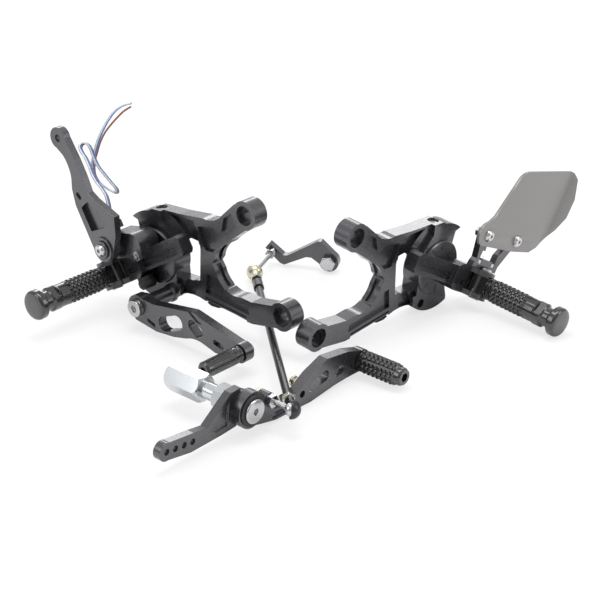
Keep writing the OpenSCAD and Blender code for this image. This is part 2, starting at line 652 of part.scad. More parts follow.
module guard_support() {
    color(black) bar_frame() difference() {
        translate([0, 0, support_z0]) union() {
            bar(guard_screw[0], 6.5, guard_screw[1], 6.5, support_t);
            linear_extrude(support_t) polygon([guard_screw[0] + [-6, 1], guard_screw[0] + [5.5, -3], [-18.5, ear_y + 8],
                [-17, ear_y + 5], [-16, ear_y], [-56, ear_y], [-56, ear_y + 6], guard_screw[1] + [-5, -3],
                guard_screw[1] + [5, -3], [-46, ear_y + 9], [-28, ear_y + 9]]);
        }
        for (s = guard_screw) translate([s[0], s[1], 0]) cylinder(d = 5, h = 60);
        // room for the end of the fold pin
        translate([peg_x, ear_y + 3.1, pin_z]) rotate([90, 0, 0]) cylinder(d = pin_d + 4.6, h = 6);
        for (x = [-25, -47]) translate([x, 0, support_z0 + support_t / 2]) rotate([-90, 0, 0]) {
            cylinder(d = 4, h = 60);
            translate([0, 0, ear_y + 4]) cylinder(d = 7.4, h = 12);
        }
    }
}

module support_screws() {
    color(steel) bar_frame() for (x = [-25, -47]) translate([x, 0, support_z0 + support_t / 2]) rotate([-90, 0, 0])
        difference() {
            union() {
                translate([0, 0, ear_y + 0.1]) cylinder(d = 4, h = 6);
                translate([0, 0, ear_y + 4]) cylinder(d = 7, h = 3.6);
            }
            translate([0, 0, ear_y + 6]) cylinder(d = 3, h = 4, $fn = 6);
        }
}

module guard_outline() {
    union() {
        translate([-14, 43]) circle(r = 11);
        polygon([[-12, 33], [-62, 36], [-92, 41], [-106, 58], [-107, 63], [-104, 122], [-34, 105.5], [-28, 99], [-20, 72],
            [-16, 60], [-10, 53]]);
    }
}

module heel_guard() {
    color(carbon) bar_frame() difference() {
        union() {
            translate([0, 0, guard_z0]) linear_extrude(guard_t) guard_outline();
            // flange that turns back along the rear edge
            translate([-105, 0, guard_z0]) rotate([0, 28, 0]) translate([-24, 0, 0]) linear_extrude(guard_t)
                polygon([[24.6, 60], [24.6, 122], [18, 118], [12.5, 100], [12.5, 80], [17, 66]]);
        }
        for (s = guard_screw) translate([s[0], s[1], 0]) cylinder(d = 5, h = 60);
    }
}

module guard_screws() {
    color(steel) bar_frame() for (s = guard_screw) translate([s[0], s[1], 0]) difference() {
        union() {
            translate([0, 0, support_z0 - 2]) cylinder(d = 5, h = guard_z1 + 2 - support_z0);
            translate([0, 0, guard_z1]) rotate_extrude() polygon([[0, 0], [5.6, 0], [5, 1.6], [3.6, 2.8], [0, 3.1]]);
            translate([0, 0, support_z0 - 4]) cylinder(d = 9.2, h = 4, $fn = 6);
        }
        translate([0, 0, guard_z1 + 1.2]) cylinder(d = 3.4, h = 4, $fn = 6);
    }
}

// Shift lever group. Origin on the pivot axis, z = 0 at the face of the pivot screw.

lever_z1 = -4;
lever_z0 = lever_z1 - lever_t;
tail_z1 = lever_z0;
tail_z0 = tail_z1 - tail_t;
pivot_d = 12;
lever_bush_r = 9;
lever_hub_r = 15;
lever_toe = [toe_reach, -9.2];
stud_at = [19, 1.2];
ball_z = 18;
axle_z1 = tail_z0 - 4;
tail_end = [-82, -3.8];

module shift_lever() {
    color(black) translate([0, 0, lever_z0]) difference() {
        union() {
            cylinder(r = lever_hub_r, h = lever_t);
            translate([lever_toe[0], lever_toe[1], 0]) cylinder(r = 9.5, h = lever_t);
            translate([stud_at[0], stud_at[1], 0]) cylinder(r = 6, h = lever_t);
            linear_extrude(lever_t) polygon([[3, 13.5], [10, 9.5], [24, -6], [50, -7.6], [68, 2.6], [88, 9.4], [113, 6],
                lever_toe + [3, 8.2], lever_toe + [-2, -8.6], [113, -17.4], [97, -18], [68, -21],
                [50, -20.2], [27, -19.6], [10, -16], [0, -13.6]]);
        }
        translate([0, 0, -1]) {
            cylinder(r = lever_bush_r, h = lever_t + 2);
            translate([58, -10]) cylinder(d = 6, h = lever_t + 2);
            bar([69, -8.6], 3.6, [85, -5], 5, lever_t + 2);
            bar([101, -8.3], 3.4, [106.5, -6.1], 3.8, lever_t + 2);
            translate([stud_at[0], stud_at[1], 0]) cylinder(d = 6, h = lever_t + 2);
            translate([lever_toe[0], lever_toe[1], 0]) cylinder(d = 6, h = lever_t + 2);
            translate([post_at[0], post_at[1], 0]) cylinder(d = 4, h = 5.5);
        }
        // shallow pocket with two grooves beside the hub
        translate([0, 0, lever_t - 1.4]) {
            bar([24, -16.3], 1.1, [45, -16.6], 1.1, 3);
            bar([26, -8.4], 0.8, [36, -8.9], 0.8, 3);
            bar([28, -12.4], 2.4, [45, -12.8], 2.4, 3);
        }
    }
}

module tail_arm() {
    color(black) difference() {
        translate([0, 0, tail_z0]) linear_extrude(tail_t) difference() {
            union() {
                circle(r = 12.4);
                translate(tail_end) circle(r = 7.5);
                polygon([[-3, 17.5], [-14, 17], [-40, -2], [-54, 0.2], tail_end + [0, 7.2], tail_end + [0, -7.2], [-57, -15.2],
                    [-24, -14.8], [-8, -13.8]]);
            }
            circle(r = lever_bush_r);
            for (i = [0:3]) translate(tail_end + i * [9, -1]) circle(d = 5);
        }
        translate([0, 0, tail_z1 - 1.2]) linear_extrude(3) polygon([[-16, 9], [-36, -5], [-30, -10], [-18, -9]]);
    }
}

module shift_bush() {
    color(steel) difference() {
        translate([0, 0, tail_z0]) cylinder(r = lever_bush_r, h = lever_z1 - tail_z0);
        translate([0, 0, tail_z0 - 1]) cylinder(d = pivot_d + 2 * fit, h = 60);
    }
}

module shift_washer() {
    color(dark) translate([0, 0, lever_z1 + 0.2]) difference() {
        rotate_extrude($fn = 60) polygon([[pivot_d / 2 + 0.1, 0], [13, 0], [13, 0.8], [11.6, 1.6], [pivot_d / 2 + 0.1, 1.6]]);
    }
}

module shift_pivot_screw() {
    color(steel) difference() {
        union() {
            translate([0, 0, -2]) rotate_extrude($fn = 60) polygon([[0, 0], [10, 0], [10, 1.2], [9.4, 1.9], [0, 2]]);
            translate([0, 0, tail_z0 - 0.3]) cylinder(d = pivot_d, h = -1.5 - tail_z0);
            translate([0, 0, axle_z1 - 12.5]) cylinder(d = 8, h = 17);
        }
        translate([0, 0, -3]) cylinder(d = 5.8, h = 5, $fn = 6);
    }
}

// Long hexagon axle with a turned neck
axle_nut_h = 14;
axle_neck = 14;
axle_big = 36;
module shift_axle() {
    color(zinc) translate([0, 0, axle_z1 - axle_nut_h - axle_neck - axle_big]) difference() {
        union() {
            intersection() {
                cylinder(d = axle_hex / cos(30), h = axle_big, $fn = 6);
                rotate_extrude($fn = 48) polygon([[0, 0], [axle_hex / 2 - 0.6, 0], [axle_hex / cos(30) / 2, 2.5],
                    [axle_hex / cos(30) / 2, axle_big - 2.5], [axle_hex / 2 - 0.6, axle_big], [0, axle_big]]);
            }
            translate([0, 0, axle_big - 1]) cylinder(r = 7, h = axle_neck + 1);
            translate([0, 0, axle_big + axle_neck - 1]) cylinder(r = 5.8, h = axle_nut_h + 1);
        }
        translate([0, 0, axle_big + axle_neck + axle_nut_h - 13]) cylinder(d = 8, h = 20);
        translate([0, 0, -1]) cylinder(d = 10, h = 12);
    }
}

module shift_axle_nut() {
    color(zinc) translate([0, 0, axle_z1 - axle_nut_h]) difference() {
        intersection() {
            rotate([0, 0, 12]) cylinder(d = (axle_hex - 1) / cos(30), h = axle_nut_h + 3.6, $fn = 6);
            rotate_extrude($fn = 48) polygon([[0, 0], [axle_hex / 2 - 1, 0], [axle_hex / 2 + 1.4, 2], [axle_hex / 2 + 1.4, axle_nut_h],
                [axle_hex / 2 - 1, axle_nut_h + 3.6], [0, axle_nut_h + 3.6]]);
        }
        translate([0, 0, -1]) cylinder(r = 5.8, h = 16);
        translate([0, 0, 10]) cylinder(d = 8, h = 12);
    }
}

module shift_toe_peg() {
    color(dark) translate([lever_toe[0], lever_toe[1], lever_z1]) difference() {
        rotate_extrude($fn = 60) polygon([[0, 0], [shift_toe_r - 0.8, 0], [shift_toe_r, 1], [shift_toe_r, shift_toe_len - 7],
            [shift_toe_r - 1.4, shift_toe_len - 6], [shift_toe_r - 1.4, shift_toe_len - 2], [shift_toe_r - 2.6, shift_toe_len],
            [0, shift_toe_len]]);
        translate([0, 0, -1]) cylinder(d = 6, h = shift_toe_len - 8);
        translate([0, 0, shift_toe_len - 4.5]) cylinder(d = 8, h = 5, $fn = 6);
        for (i = [0:7]) translate([0, 0, 4 + i * 4.4]) rotate_extrude($fn = 60)
            polygon([[shift_toe_r - 1.2, -0.5], [shift_toe_r + 1, -1.4], [shift_toe_r + 1, 1.4], [shift_toe_r - 1.2, 0.5]]);
        for (k = [0:12]) rotate([0, 0, k * 360 / 13]) translate([shift_toe_r + 0.5, 0, 3])
            cylinder(r = 1.5, h = 34, $fn = 14);
    }
}

module shift_toe_screw() {
    color(steel) translate([lever_toe[0], lever_toe[1], lever_z0 - 4]) difference() {
        union() {
            cylinder(d = 10, h = 4);
            cylinder(d = 6, h = lever_t + 26);
        }
        translate([0, 0, -1]) cylinder(d = 4.6, h = 3.5, $fn = 6);
    }
}

// Flanged post on the back of the lever
post_at = [64.5, -6.4];
module spring_post() {
    color(yellow_zinc) translate([post_at[0], post_at[1], lever_z0]) {
        translate([0, 0, -5.4]) cylinder(d = 6, h = 5.4);
        translate([0, 0, -6.8]) cylinder(d = 9, h = 2);
        translate([0, 0, -2.6]) rotate([0, 0, 30]) cylinder(d = 9.4, h = 2.6, $fn = 6);
        cylinder(d = 4, h = 4.5);
    }
}

// Linkage: two ball studs, two cup rod ends, the rod and its jam nuts

ball_r = 5.4;
cup_r = 7.6;
cup_clear = 0.15;
stud_d = 4.4;
upper_ball = [-41, 134, 7.9];
lever_x = [cos(lever_yaw), sin(lever_yaw), 0];
lever_y = [-sin(lever_yaw) * sin(lever_pitch), cos(lever_yaw) * sin(lever_pitch), cos(lever_pitch)];
lever_n = cross(lever_x, lever_y);
lower_ball = lever_at + stud_at[0] * lever_x + stud_at[1] * lever_y + ball_z * lever_n;
rod_axis = unit(upper_ball - lower_ball);
rod_len = norm(upper_ball - lower_ball);
lower_open = unit((lever_n * rod_axis) * rod_axis - lever_n);

// Turns +z onto a direction
module along(v) {
    rotate([0, acos(v[2] / norm(v)), atan2(v[1], v[0])]) children();
}

module at_lower_ball() {
    translate(lower_ball + kit_shift) children();
}

module at_upper_ball() {
    translate(upper_ball + kit_shift) children();
}

module lower_ball_stud() {
    color(steel) translate([stud_at[0], stud_at[1], 0]) {
        translate([0, 0, ball_z]) sphere(r = ball_r);
        translate([0, 0, lever_z1 + 4]) cylinder(d = stud_d, h = ball_z - lever_z1 - 5);
        translate([0, 0, lever_z1]) cylinder(d = 11, h = 5, $fn = 6);
        translate([0, 0, lever_z0 - 7]) cylinder(d = 6, h = lever_t + 8);
    }
}

module lower_ball_nut() {
    color(yellow_zinc) translate([stud_at[0], stud_at[1], lever_z0 - 5]) difference() {
        cylinder(d = 10.4, h = 5, $fn = 6);
        translate([0, 0, -1]) cylinder(d = 6, h = 9);
    }
}

// Cup that holds a ball: its neck leaves along one direction, its mouth faces another
module rod_end(neck, mouth, cut, trim) {
    inner_r = ball_r + cup_clear;
    along(mouth) rotate_extrude($fn = 48) polygon(concat(
        arc([0, 0], cup_r, asin(cut / cup_r), -90, 10), arc([0, 0], inner_r, -90, asin(cut / inner_r), 10)));
    difference() {
        along(neck) translate([0, 0, inner_r + 0.15]) cylinder(r = 4.6, h = 14.9 - inner_r - 0.15);
        if (trim) along(mouth) translate([-20, -20, cut]) cube(40);
    }
}

module lower_rod_end() {
    color(black) at_lower_ball() rod_end(rod_axis, lower_open, 0.8, true);
}

module upper_rod_end() {
    color(yellow_zinc) at_upper_ball() rod_end(-rod_axis, upper_open, 2.6, false);
}

module link_rod() {
    color(dark) at_lower_ball() along(rod_axis) {
        translate([0, 0, 21]) cylinder(d = rod_d, h = rod_len - 42);
        for (z = [15, rod_len - 21]) translate([0, 0, z]) cylinder(d = 6, h = 6);
        translate([0, 0, rod_len - 40]) cylinder(d = rod_d + 2.6, h = 14);
    }
}

module rod_jam_nuts() {
    color(yellow_zinc) at_lower_ball() along(rod_axis) for (z = [15, rod_len - 20.2]) translate([0, 0, z]) difference() {
        cylinder(d = 11, h = 5.2, $fn = 6);
        translate([0, 0, -1]) cylinder(d = 6, h = 9);
    }
}

// Shift shaft arm. Origin at its lower right tip, x to the right, y up, z towards the lever.
arm_plate_t = 8;
clamp_at = [-0.5, 9.6];
stud_hole = [-54.5, 13.8];

module shaft_arm() {
    color(black) at_arm() difference() {
        translate([0, 0, -arm_plate_t]) union() {
            translate([clamp_at[0], clamp_at[1], 0]) cylinder(r = 9.3, h = arm_plate_t);
            linear_extrude(arm_plate_t) polygon([[7, 15], [-8, 29], [-11, 29], [-40, 11.5], [-44, 11.5], [-57, 22],
                [-61, 17], [-47, 3.4], [-43, 2], [-22, 12], [-17, 12], [-5, 4]]);
        }
        translate([clamp_at[0], clamp_at[1], -20]) cylinder(d = 6.4, h = 40);
        translate([stud_hole[0], stud_hole[1], -20]) cylinder(d = 5, h = 40);
    }
}

module shaft_bolt() {
    color(steel) at_arm() translate([clamp_at[0], clamp_at[1], 0]) {
        rotate([0, 0, 8]) cylinder(d = 14.6, h = 5, $fn = 6);
        translate([0, 0, 4.5]) cylinder(d1 = 12, d2 = 11, h = 0.8);
        translate([0, 0, -13]) cylinder(d = 6.4, h = 14);
    }
}

arm_x = [cos(arm_yaw), sin(arm_yaw), 0];
arm_n = [sin(arm_yaw), -cos(arm_yaw), 0];
stud_foot = arm_at + stud_hole[0] * arm_x + [0, 0, stud_hole[1]] + 8 * arm_n;
upper_open = unit(stud_foot - upper_ball);

module upper_ball_stud() {
    color(steel) {
        at_upper_ball() {
            sphere(r = ball_r);
            along(upper_open) cylinder(d = stud_d, h = norm(stud_foot - upper_ball));
        }
        at_arm() translate([stud_hole[0], stud_hole[1], 0]) {
            cylinder(d = 9.4, h = 7, $fn = 6);
            translate([0, 0, 6]) cylinder(d = 6, h = 3);
            translate([0, 0, -arm_plate_t]) cylinder(d = 5, h = arm_plate_t + 1);
        }
    }
}

at_side(true) bracket();  // brake_bracket
at_side(true) adjuster();  // brake_adjuster
at_side(true) clamp_screw();  // brake_clamp_screw
at_side(true) hanger(true);  // brake_peg_hanger
at_side(true) hanger_screws();  // brake_hanger_screws
at_side(true) peg_pin();  // brake_peg_pin
at_side(true) footpeg();  // brake_footpeg
at_side(true) peg_cap();  // brake_peg_cap
at_side(true) pedal_axle();
at_side(true) pedal_spacer();
at_side(true) pedal_bush();
at_side(true) pedal();  // brake_pedal
at_side(true) pedal_stop();
at_side(true) toe_peg();  // brake_toe_peg
at_side(true) toe_screw();  // brake_toe_screw
at_side(true) arm_mount();
at_side(true) arm_mount_screws();
at_side(true) arm_spindle();
at_side(true) brake_arm();
at_side(true) arm_washer();
at_side(true) arm_screw();
at_side(true) brake_switch();
wire(wire_blue_pts, [0.35, 0.6, 0.85]);  // wire_blue
wire(wire_brown_pts, [0.55, 0.35, 0.28]);  // wire_brown
wire(wire_white_pts, [0.9, 0.9, 0.9]);  // wire_white
at_side(false) bracket();  // shift_bracket
at_side(false) adjuster();  // shift_adjuster
at_side(false) clamp_screw();  // shift_clamp_screw
at_side(false) hanger(false);  // shift_peg_hanger
at_side(false) hanger_screws();  // shift_hanger_screws
at_side(false) peg_pin();  // shift_peg_pin
at_side(false) footpeg();  // shift_footpeg
at_side(false) peg_cap();  // shift_peg_cap
at_side(false) guard_support();
at_side(false) support_screws();
at_side(false) heel_guard();
at_side(false) guard_screws();
at_lever() shift_lever();
at_lever() tail_arm();  // shift_tail_arm
at_lever() shift_bush();
at_lever() shift_washer();
at_lever() shift_pivot_screw();
at_lever() shift_axle();
at_lever() shift_axle_nut();
at_lever() shift_toe_peg();
at_lever() shift_toe_screw();
at_lever() spring_post();
at_lever() lower_ball_stud();
at_lever() lower_ball_nut();
link_rod();
rod_jam_nuts();
lower_rod_end();
upper_rod_end();
upper_ball_stud();
shaft_arm();
shaft_bolt();
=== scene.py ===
# Looks for the rear set footrest kit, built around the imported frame.

import json
import math

import bmesh
import bpy
from mathutils import Matrix, Vector

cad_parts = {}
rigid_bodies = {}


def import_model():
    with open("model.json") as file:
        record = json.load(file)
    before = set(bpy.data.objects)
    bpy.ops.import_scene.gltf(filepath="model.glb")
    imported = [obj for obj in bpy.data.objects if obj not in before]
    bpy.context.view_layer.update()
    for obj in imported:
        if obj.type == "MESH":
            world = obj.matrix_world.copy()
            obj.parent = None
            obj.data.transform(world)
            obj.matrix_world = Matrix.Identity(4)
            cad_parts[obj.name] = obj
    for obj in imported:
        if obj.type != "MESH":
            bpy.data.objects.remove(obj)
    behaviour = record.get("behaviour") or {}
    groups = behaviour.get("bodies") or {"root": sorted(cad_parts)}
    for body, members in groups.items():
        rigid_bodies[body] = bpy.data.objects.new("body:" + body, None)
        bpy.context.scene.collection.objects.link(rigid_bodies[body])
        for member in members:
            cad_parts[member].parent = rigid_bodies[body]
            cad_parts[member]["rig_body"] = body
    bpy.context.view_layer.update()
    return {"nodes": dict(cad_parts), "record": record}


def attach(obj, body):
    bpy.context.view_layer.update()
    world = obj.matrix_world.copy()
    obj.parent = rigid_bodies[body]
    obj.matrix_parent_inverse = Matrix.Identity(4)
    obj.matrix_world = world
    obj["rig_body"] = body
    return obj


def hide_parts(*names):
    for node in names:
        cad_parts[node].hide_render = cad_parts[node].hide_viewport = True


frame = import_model()
NODES = frame["nodes"]
MM = 0.001
KIT = Vector((-8.283, 17.61, 0.04))


def body_of(node):
    return NODES[node]["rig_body"]


# Shared shader effects

GRAIN_SCALE = 1400.0
GRAIN_DEPTH = 0.02
GRAIN_RISE = 0.0004
DRIFT_SCALE = 28.0
WEAVE_PITCH = 900.0
WEAVE_TURNS = (0.62, -0.95)


def effect_group(name, inputs, outputs):
    group = bpy.data.node_groups.new(name, "ShaderNodeTree")
    for label, kind, value in inputs:
        socket = group.interface.new_socket(label, in_out="INPUT", socket_type=kind)
        socket.default_value = value
    for label, kind in outputs:
        group.interface.new_socket(label, in_out="OUTPUT", socket_type=kind)
    return group, group.nodes.new("NodeGroupInput"), group.nodes.new("NodeGroupOutput")


def make_grain():
    """Fine blasted grain and broad drift, as a value around 0.5 and as a bumped normal."""
    group, start, end = effect_group(
        "fine_grain",
        [("Scale", "NodeSocketFloat", GRAIN_SCALE), ("Depth", "NodeSocketFloat", GRAIN_DEPTH)],
        [("Grain", "NodeSocketFloat"), ("Drift", "NodeSocketFloat"), ("Normal", "NodeSocketVector")],
    )
    nodes = group.nodes
    links = group.links
    coords = nodes.new("ShaderNodeTexCoord")
    fine = nodes.new("ShaderNodeTexNoise")
    fine.inputs["Detail"].default_value = 3.0
    links.new(coords.outputs["Object"], fine.inputs["Vector"])
    links.new(start.outputs["Scale"], fine.inputs["Scale"])
    broad = nodes.new("ShaderNodeTexNoise")
    broad.inputs["Scale"].default_value = DRIFT_SCALE
    broad.inputs["Detail"].default_value = 2.0
    links.new(coords.outputs["Object"], broad.inputs["Vector"])
    bump = nodes.new("ShaderNodeBump")
    bump.inputs["Distance"].default_value = GRAIN_RISE
    links.new(start.outputs["Depth"], bump.inputs["Strength"])
    links.new(fine.outputs["Fac"], bump.inputs["Height"])
    links.new(fine.outputs["Fac"], end.inputs["Grain"])
    links.new(broad.outputs["Fac"], end.inputs["Drift"])
    links.new(bump.outputs["Normal"], end.inputs["Normal"])
    return group


def make_weave():
    """Twill weave of a thin carbon sheet, as a value from 0 to 1."""
    group, start, end = effect_group(
        "twill_weave",
        [("Pitch", "NodeSocketFloat", WEAVE_PITCH)],
        [("Weave", "NodeSocketFloat")],
    )
    nodes = group.nodes
    links = group.links
    coords = nodes.new("ShaderNodeTexCoord")
    waves = []
    for turn in WEAVE_TURNS:
        turned = nodes.new("ShaderNodeMapping")
        turned.inputs["Rotation"].default_value = (0.3, turn, 0.75)
        links.new(coords.outputs["Object"], turned.inputs["Vector"])
        wave = nodes.new("ShaderNodeTexWave")
        wave.inputs["Distortion"].default_value = 0.0
        links.new(turned.outputs["Vector"], wave.inputs["Vector"])
        links.new(start.outputs["Pitch"], wave.inputs["Scale"])
        waves.append(wave)
    product = nodes.new("ShaderNodeMath")
    product.operation = "MULTIPLY"
    links.new(waves[0].outputs["Fac"], product.inputs[0])
    links.new(waves[1].outputs["Fac"], product.inputs[1])
    links.new(product.outputs["Value"], end.inputs["Weave"])
    return group


GRAIN = make_grain()
WEAVE = make_weave()


def tone(color, factor):
    return (color[0] * factor, color[1] * factor, color[2] * factor, 1.0)


def material(name, color, metallic, rough, rough_span=0.08, drift=0.12, depth=GRAIN_DEPTH,
             coat=0.0, coat_rough=0.1):
    mat = bpy.data.materials.new(name)
    mat.use_nodes = True
    nodes = mat.node_tree.nodes
    links = mat.node_tree.links
    shader = nodes["Principled BSDF"]
    effect = nodes.new("ShaderNodeGroup")
    effect.node_tree = GRAIN
    effect.inputs["Depth"].default_value = depth
    tint = nodes.new("ShaderNodeMix")
    tint.data_type = "RGBA"
    tint.inputs["A"].default_value = tone(color, 1.0 - drift)
    tint.inputs["B"].default_value = tone(color, 1.0 + drift)
    links.new(effect.outputs["Drift"], tint.inputs["Factor"])
    links.new(tint.outputs["Result"], shader.inputs["Base Color"])
    spread = nodes.new("ShaderNodeMapRange")
    spread.inputs["From Min"].default_value = 0.3
    spread.inputs["From Max"].default_value = 0.7
    spread.inputs["To Min"].default_value = max(0.02, rough - rough_span)
    spread.inputs["To Max"].default_value = rough + rough_span
    links.new(effect.outputs["Grain"], spread.inputs["Value"])
    links.new(spread.outputs["Result"], shader.inputs["Roughness"])
    links.new(effect.outputs["Normal"], shader.inputs["Normal"])
    shader.inputs["Metallic"].default_value = metallic
    shader.inputs["Coat Weight"].default_value = coat
    shader.inputs["Coat Roughness"].default_value = coat_rough
    return mat


GUARD_DARK = (0.2, 0.195, 0.19, 1.0)
GUARD_LIGHT = (0.3, 0.292, 0.285, 1.0)


def carbon_material():
    """The guard's sheet: the usual material with the weave in place of the broad drift."""
    mat = material("guard", GUARD_DARK, 0.35, 0.36, rough_span=0.05, coat=0.35, coat_rough=0.18)
    weave = mat.node_tree.nodes.new("ShaderNodeGroup")
    weave.node_tree = WEAVE
    tint = mat.node_tree.nodes["Principled BSDF"].inputs["Base Color"].links[0].from_node
    tint.inputs["A"].default_value = GUARD_DARK
    tint.inputs["B"].default_value = GUARD_LIGHT
    mat.node_tree.links.new(weave.outputs["Weave"], tint.inputs["Factor"])
    return mat


MATERIALS = {
    "black_alloy": material("black_alloy", (0.1, 0.098, 0.107), 0.9, 0.3, coat=0.5, coat_rough=0.12),
    "grip": material("grip", (0.05, 0.05, 0.052), 0.8, 0.2, coat=0.9, coat_rough=0.07),
    "steel": material("steel", (0.55, 0.55, 0.56), 1.0, 0.22, depth=0.01),
    "bright_zinc": material("bright_zinc", (0.58, 0.6, 0.62), 1.0, 0.2, depth=0.01),
    "yellow_zinc": material("yellow_zinc", (0.6, 0.57, 0.45), 1.0, 0.25, depth=0.01),
    "dark_steel": material("dark_steel", (0.05, 0.05, 0.055), 0.8, 0.3),
    "guard": carbon_material(),
    "black_plastic": material("black_plastic", (0.02, 0.02, 0.02), 0.0, 0.42),
    "black_rubber": material("black_rubber", (0.018, 0.018, 0.018), 0.0, 0.5),
    "blue_wire": material("blue_wire", (0.03, 0.22, 0.62), 0.0, 0.38, depth=0.0),
    "brown_wire": material("brown_wire", (0.33, 0.13, 0.07), 0.0, 0.38, depth=0.0),
    "white_wire": material("white_wire", (0.78, 0.78, 0.76), 0.0, 0.38, depth=0.0),
}

SLOT_OF = {part["node"]: part["material_slot"] for part in frame["record"]["subparts"]}


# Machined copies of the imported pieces: clean faces, small rounded edges

EDGE_WIDTH = 0.4
EDGE_WIDTHS = {"brake_footpeg": 0.22, "shift_footpeg": 0.22, "shift_toe_peg": 0.22,
               "brake_toe_peg": 0.2, "brake_bracket": 0.7, "shift_bracket": 0.7, "shift_axle": 0.5}
EDGE_ANGLE = math.radians(31)
FLAT_ANGLE = math.radians(0.7)
WELD = 2e-6


def machined(node):
    source = NODES[node]
    mesh = source.data.copy()
    shape = bmesh.new()
    shape.from_mesh(mesh)
    bmesh.ops.remove_doubles(shape, verts=shape.verts, dist=WELD)
    bmesh.ops.dissolve_limit(shape, angle_limit=FLAT_ANGLE, verts=shape.verts, edges=shape.edges)
    shape.to_mesh(mesh)
    shape.free()
    mesh.materials.clear()
    mesh.materials.append(MATERIALS[SLOT_OF[node]])
    piece = bpy.data.objects.new(node + "_shown", mesh)
    bpy.context.scene.collection.objects.link(piece)
    round_edges = piece.modifiers.new("round", "BEVEL")
    round_edges.width = EDGE_WIDTHS.get(node, EDGE_WIDTH) * MM
    round_edges.segments = 2
    round_edges.limit_method = "ANGLE"
    round_edges.angle_limit = EDGE_ANGLE
    round_edges.use_clamp_overlap = True
    weigh = piece.modifiers.new("weigh", "WEIGHTED_NORMAL")
    weigh.keep_sharp = True
    weigh.weight = 60
    graph = bpy.context.evaluated_depsgraph_get()
    mesh.shade_smooth()
    final = bpy.data.meshes.new_from_object(piece.evaluated_get(graph))
    piece.modifiers.clear()
    piece.data = final
    piece.data.name = node + "_shown"
    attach(piece, body_of(node))
    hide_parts(node)


for name in NODES:
    if not name.startswith("wire_") and name != "heel_guard":
        machined(name)


# Frames of the two sides, the lever and the hanger bar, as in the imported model

BAR_TILT = 28.5
BRAKE_AT = (-121.3, 77, 50.6)
SHIFT_AT = (115.5, 75, 40.7)
LEVER_AT = (-32.7, -152, 21.2)
BRAKE_YAW = 41.8
BRAKE_ROLL = 2.3
SHIFT_YAW = 45.5
SHIFT_PITCH = 5.2
LEVER_YAW = 49.3
LEVER_PITCH = -1.4


def side_frame(place, yaw, pitch, roll, mirrored):
    frame_matrix = (Matrix.Rotation(math.radians(-yaw), 4, "Z")
                    @ Matrix.Rotation(math.radians(90 + pitch), 4, "X")
                    @ Matrix.Rotation(math.radians(roll), 4, "Z"))
    if mirrored:
        frame_matrix = Matrix.Diagonal((-1, 1, 1, 1)) @ frame_matrix
    return Matrix.Translation(Vector(place) + KIT) @ frame_matrix


BRAKE = side_frame(BRAKE_AT, BRAKE_YAW, 0, BRAKE_ROLL, False)
SHIFT = side_frame(SHIFT_AT, SHIFT_YAW, SHIFT_PITCH, 0, True)
LEVER = (Matrix.Translation(Vector(LEVER_AT) + KIT) @ Matrix.Rotation(math.radians(LEVER_YAW), 4, "Z")
         @ Matrix.Rotation(math.radians(90 - LEVER_PITCH), 4, "X"))
BAR = Matrix.Rotation(math.radians(BAR_TILT), 4, "Z")


# Rows of studs on the two footpegs and the toe peg, one tree with named inputs

STUD_SHAPE = (1.0, 1.15, 0.42)


def make_stud_tree():
    tree = bpy.data.node_groups.new("stud_rows", "GeometryNodeTree")
    tree.interface.new_socket("Geometry", in_out="OUTPUT", socket_type="NodeSocketGeometry")
    for label, kind, value in (("Radius", "NodeSocketFloat", 0.01), ("Rows", "NodeSocketInt", 7),
                               ("Pitch", "NodeSocketFloat", 0.0046), ("Around", "NodeSocketInt", 14),
                               ("Stud", "NodeSocketFloat", 0.0012), ("Material", "NodeSocketMaterial", None)):
        socket = tree.interface.new_socket(label, in_out="INPUT", socket_type=kind)
        if value is not None:
            socket.default_value = value
    nodes = tree.nodes
    links = tree.links
    start = nodes.new("NodeGroupInput")
    end = nodes.new("NodeGroupOutput")
    step = nodes.new("ShaderNodeCombineXYZ")
    links.new(start.outputs["Pitch"], step.inputs["Z"])
    line = nodes.new("GeometryNodeMeshLine")
    links.new(start.outputs["Rows"], line.inputs["Count"])
    links.new(step.outputs["Vector"], line.inputs["Offset"])
    ring = nodes.new("GeometryNodeMeshCircle")
    links.new(start.outputs["Around"], ring.inputs["Vertices"])
    links.new(start.outputs["Radius"], ring.inputs["Radius"])
    rows = nodes.new("GeometryNodeInstanceOnPoints")
    links.new(line.outputs["Mesh"], rows.inputs["Points"])
    links.new(ring.outputs["Mesh"], rows.inputs["Instance"])
    spots = nodes.new("GeometryNodeRealizeInstances")
    links.new(rows.outputs["Instances"], spots.inputs["Geometry"])
    place = nodes.new("GeometryNodeInputPosition")
    flat = nodes.new("ShaderNodeVectorMath")
    flat.operation = "MULTIPLY"
    flat.inputs[1].default_value = (1, 1, 0)
    links.new(place.outputs["Position"], flat.inputs[0])
    face_out = nodes.new("FunctionNodeAlignRotationToVector")
    face_out.axis = "Z"
    links.new(flat.outputs["Vector"], face_out.inputs["Vector"])
    stud = nodes.new("GeometryNodeMeshUVSphere")
    stud.inputs["Segments"].default_value = 10
    stud.inputs["Rings"].default_value = 5
    links.new(start.outputs["Stud"], stud.inputs["Radius"])
    studs = nodes.new("GeometryNodeInstanceOnPoints")
    links.new(spots.outputs["Geometry"], studs.inputs["Points"])
    links.new(stud.outputs["Mesh"], studs.inputs["Instance"])
    links.new(face_out.outputs["Rotation"], studs.inputs["Rotation"])
    studs.inputs["Scale"].default_value = STUD_SHAPE
    solid = nodes.new("GeometryNodeRealizeInstances")
    links.new(studs.outputs["Instances"], solid.inputs["Geometry"])
    finish = nodes.new("GeometryNodeSetMaterial")
    links.new(solid.outputs["Geometry"], finish.inputs["Geometry"])
    links.new(start.outputs["Material"], finish.inputs["Material"])
    links.new(finish.outputs["Geometry"], end.inputs["Geometry"])
    return tree


STUDS = make_stud_tree()


